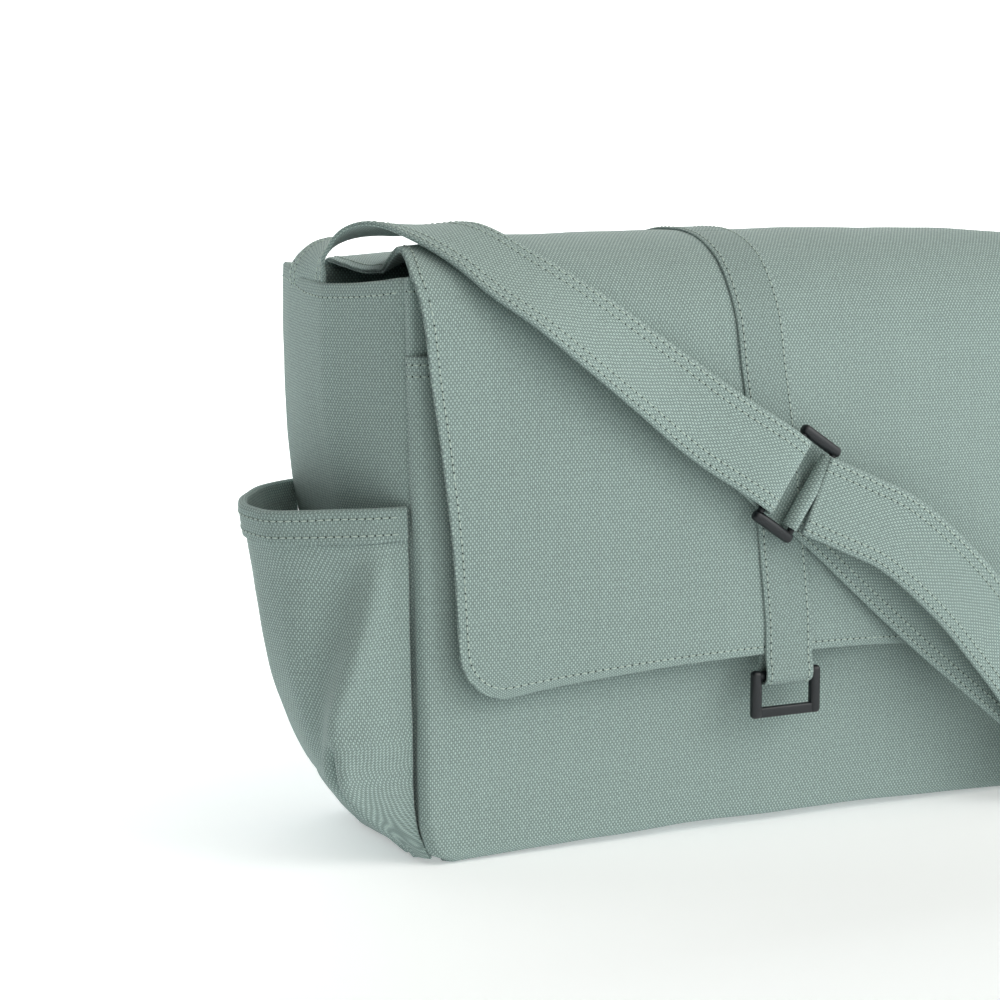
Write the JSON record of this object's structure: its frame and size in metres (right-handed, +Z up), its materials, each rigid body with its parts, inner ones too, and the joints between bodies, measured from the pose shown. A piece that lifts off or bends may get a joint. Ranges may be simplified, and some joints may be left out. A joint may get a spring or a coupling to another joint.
{
  "type": "messenger bag",
  "caption": "Soft canvas messenger bag with a wrap-over flap, bellows side pockets, a slip pocket and an adjustable shoulder strap joined by a black ring.",
  "frame": {"origin": "centre of the base on the floor", "axes": "+X to the right seen from the front, +Y to the back, +Z up"},
  "size_m": [0.5733, 0.196, 0.3392],
  "materials": {
    "canvas": "matt plain weave, sage green",
    "lining": "matt plain weave, sage green",
    "band": "matt plain weave, sage green",
    "strap_canvas": "matt plain weave, sage green",
    "black_metal": "satin black coating",
    "snap_metal": "satin"
  },
  "bodies": {
    "bag": {"front_panel": "canvas", "back_panel": "canvas", "gusset_left": "canvas", "gusset_right": "canvas", "hem_facing": "lining", "front_pocket": "canvas", "side_pocket_left": "canvas", "side_pocket_right": "canvas", "pocket_band_left": "canvas", "pocket_band_right": "canvas", "flap_seam": "canvas", "anchor_left": "strap_canvas", "anchor_right": "strap_canvas", "snap_socket": "snap_metal"},
    "flap_top": {"flap_top_outer": "canvas", "flap_top_lining": "lining", "band_top": "band"},
    "flap_front": {"flap_front_outer": "canvas", "flap_front_lining": "lining", "band_front": "band", "band_loop": "band", "snap_stud": "snap_metal"},
    "pull_ring": {"flap_ring": "black_metal"},
    "strap": {"strap_left": "strap_canvas", "strap_left_arch": "strap_canvas", "strap_right_arch": "strap_canvas", "strap_long": "strap_canvas", "strap_upper": "strap_canvas"},
    "joining_ring": {"strap_ring": "black_metal"},
    "strap_slider": {"slider": "black_metal", "tail_loop": "strap_canvas"}
  },
  "joints": [
    {"name": "strap_swing", "type": "hinge", "parent": "bag", "child": "strap", "pos_m": [0, 0.0145, 0.3088], "axis": [-1, 0, 0], "range_deg": [0, 90], "deforming": ["strap_left_arch", "strap_right_arch"]},
    {"name": "flap_hinge", "type": "hinge", "parent": "bag", "child": "flap_top", "pos_m": [0, 0.0729, 0.3132], "axis": [-1, 0, 0], "range_deg": [0, 27]},
    {"name": "flap_fold", "type": "hinge", "parent": "flap_top", "child": "flap_front", "pos_m": [0, -0.0745, 0.3128], "axis": [-1, 0, 0], "range_deg": [0, 18]},
    {"name": "flap_ring_swing", "type": "hinge", "parent": "flap_front", "child": "pull_ring", "pos_m": [0.0045, -0.096, 0.09], "axis": [-1, 0, 0], "range_deg": [0, 100]},
    {"name": "strap_ring_rock", "type": "hinge", "parent": "strap", "child": "joining_ring", "pos_m": [-0.00687, -0.107, 0.20282], "axis": [0.5592, 0, 0.829], "range_deg": [-3, 3]},
    {"name": "slider_slide", "type": "slide", "parent": "strap", "child": "strap_slider", "axis": [0.7716, 0, -0.6361], "range_m": [-0.012, 0.006], "deforming": ["strap_upper"]}
  ],
  "couplings": [
    {"joint": "flap_hinge", "follows": "strap_swing", "ratio": 0.3},
    {"joint": "flap_fold", "follows": "strap_swing", "ratio": 0.2}
  ]
}
